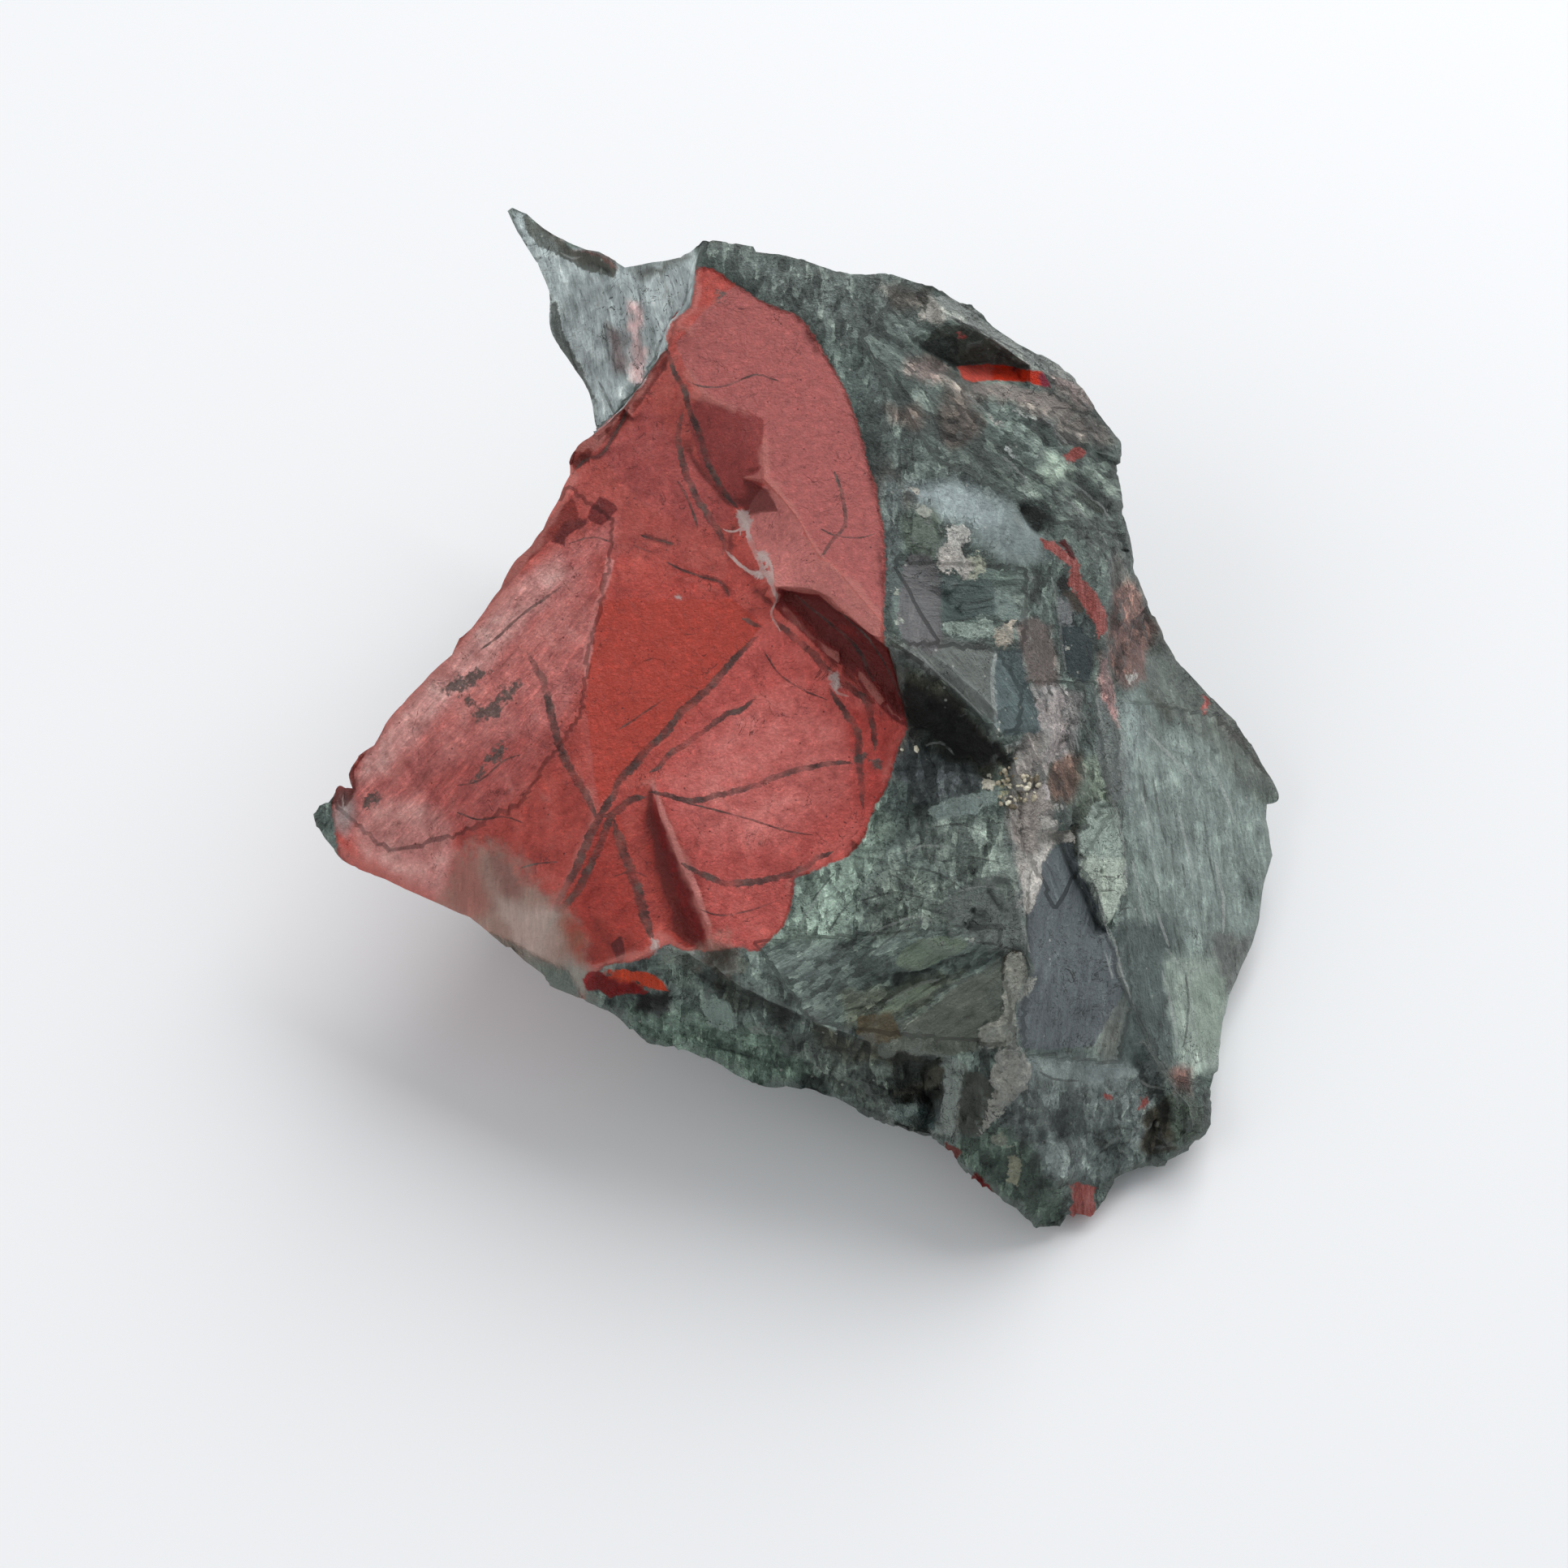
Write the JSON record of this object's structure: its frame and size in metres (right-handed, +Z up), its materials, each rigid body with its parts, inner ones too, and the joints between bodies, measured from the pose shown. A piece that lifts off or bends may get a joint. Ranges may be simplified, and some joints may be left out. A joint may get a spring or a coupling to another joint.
{
  "type": "bloodstone",
  "caption": "Rough bloodstone: a broken lump of green jasper with a large red patch, dark veins and a horn at the back, resting on a flat base.",
  "frame": {"origin": "middle of the lump's footprint box, on the ground it rests on", "axes": "+Z up, +Y from the viewer of the picture towards the back with the horn, +X to the picture's right"},
  "size_m": [0.0932, 0.096, 0.048],
  "materials": {
    "stone_green": "rough"
  },
  "bodies": {
    "root": {"bloodstone": "stone_green"}
  },
  "joints": []
}
